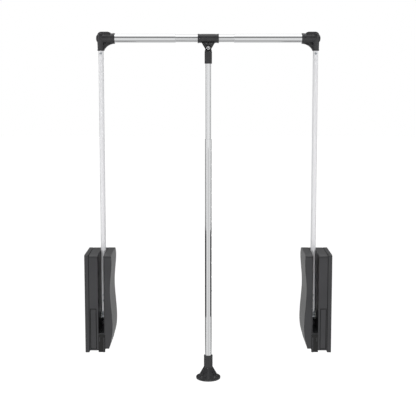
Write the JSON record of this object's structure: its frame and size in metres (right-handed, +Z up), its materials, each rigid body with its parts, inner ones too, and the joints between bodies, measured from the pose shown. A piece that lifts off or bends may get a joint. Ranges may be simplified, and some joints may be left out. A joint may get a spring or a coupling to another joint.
{
  "type": "pull down closet rod",
  "caption": "Wardrobe lift: a telescopic hanging rail on two sprung arms that swing down from side-mounted housings, with a telescopic pull handle.",
  "frame": {"origin": "centre of the left wall plate's four-screw pattern, on the face against the left side panel", "axes": "+X from the left side panel to the right one, -Y to the front of the wardrobe, +Z up"},
  "size_m": [0.724, 0.1414, 1.0455],
  "materials": {
    "black_abs": "fine satin texture",
    "black_nylon": "satin moulded",
    "grey_acetal": "smooth",
    "black_rubber": "matt",
    "zinc_steel": "bright zinc",
    "dark_steel": "black coated",
    "spring_steel": "drawn wire",
    "chromed_steel": "bright chrome"
  },
  "bodies": {
    "left_unit": {"left_wall_plate": "black_abs", "left_base_shell": "black_abs", "left_cover": "black_abs", "left_access_panel": "black_abs", "left_cover_clip": "black_nylon", "left_outer_bush": "grey_acetal", "left_inner_bush": "grey_acetal", "left_bumper": "black_rubber", "left_spring_anchor": "zinc_steel", "left_damper_body": "dark_steel", "left_return_spring": "spring_steel", "left_case_screws": "zinc_steel"},
    "left_frame": {"left_pivot_shaft": "zinc_steel", "left_crank": "dark_steel", "left_arm_hub": "dark_steel", "left_hub_screws": "zinc_steel", "left_arm_tube": "chromed_steel", "left_corner": "black_nylon", "left_corner_cap": "black_nylon", "left_corner_rivet": "zinc_steel", "left_rail_tube": "chromed_steel", "left_rail_bush": "grey_acetal"},
    "left_yoke": {"left_yoke": "dark_steel", "left_damper_rod": "chromed_steel"},
    "rail_centre": {"rail_inner_tube": "chromed_steel"},
    "right_frame": {"right_pivot_shaft": "zinc_steel", "right_crank": "dark_steel", "right_arm_hub": "dark_steel", "right_hub_screws": "zinc_steel", "right_arm_tube": "chromed_steel", "right_corner": "black_nylon", "right_corner_cap": "black_nylon", "right_corner_rivet": "zinc_steel", "right_rail_tube": "chromed_steel", "right_rail_bush": "grey_acetal"},
    "right_unit": {"right_wall_plate": "black_abs", "right_base_shell": "black_abs", "right_cover": "black_abs", "right_access_panel": "black_abs", "right_cover_clip": "black_nylon", "right_outer_bush": "grey_acetal", "right_inner_bush": "grey_acetal", "right_bumper": "black_rubber", "right_spring_anchor": "zinc_steel", "right_damper_body": "dark_steel", "right_return_spring": "spring_steel", "right_case_screws": "zinc_steel"},
    "right_yoke": {"right_yoke": "dark_steel", "right_damper_rod": "chromed_steel"},
    "handle_head": {"handle_clamp": "black_nylon", "knuckle_screw": "zinc_steel", "knuckle_nut": "zinc_steel"},
    "handle_upper": {"handle_socket": "black_nylon", "handle_upper_tube": "chromed_steel", "button_spring": "spring_steel"},
    "handle_lower": {"handle_lower_tube": "chromed_steel", "handle_foot": "black_nylon"},
    "button": {"snap_button": "zinc_steel"}
  },
  "joints": [
    {"name": "frame_swing", "type": "hinge", "parent": "left_unit", "child": "left_frame", "pos_m": [0.0471, 0.014, -0.055], "axis": [1, 0, 0], "range_deg": [0, 105], "stiffness_Nm_per_rad": 14, "springref_deg": -20.05},
    {"name": "left_yoke_slide", "type": "slide", "parent": "left_unit", "child": "left_yoke", "axis": [0, 0, 1], "range_m": [0, 0.0382], "deforming": ["left_return_spring"]},
    {"name": "rail_width_left", "type": "slide", "parent": "left_frame", "child": "rail_centre", "axis": [1, 0, 0], "range_m": [-0.055, 0.055]},
    {"name": "rail_width_right", "type": "slide", "parent": "rail_centre", "child": "right_frame", "axis": [1, 0, 0], "range_m": [-0.04, 0.055]},
    {"name": "right_unit_pivot", "type": "hinge", "parent": "right_frame", "child": "right_unit", "pos_m": [0.6769, 0.014, -0.055], "axis": [1, 0, 0], "range_deg": [-105, 0]},
    {"name": "right_yoke_slide", "type": "slide", "parent": "right_unit", "child": "right_yoke", "axis": [0, 0, 1], "range_m": [0, 0.0382], "deforming": ["right_return_spring"]},
    {"name": "handle_swing", "type": "hinge", "parent": "rail_centre", "child": "handle_head", "pos_m": [0.362, 0.014, 0.775], "axis": [1, 0, 0], "range_deg": [-120, 60]},
    {"name": "handle_tilt", "type": "hinge", "parent": "handle_head", "child": "handle_upper", "pos_m": [0.362, 0.014, 0.7474], "axis": [0, 1, 0], "range_deg": [-12, 12]},
    {"name": "handle_reach", "type": "slide", "parent": "handle_upper", "child": "handle_lower", "axis": [0, 0, -1], "range_m": [0, 0.255]},
    {"name": "button_press", "type": "slide", "parent": "handle_upper", "child": "button", "axis": [-1, 0, 0], "range_m": [0, 0.003], "stiffness_N_per_m": 1500, "springref_m": -0.002, "deforming": ["button_spring"]}
  ],
  "couplings": [
    {"joint": "left_yoke_slide", "follows": "frame_swing", "m_per_rad": 0.02078},
    {"joint": "right_unit_pivot", "follows": "frame_swing", "ratio": -1},
    {"joint": "right_yoke_slide", "follows": "frame_swing", "m_per_rad": 0.02078}
  ]
}
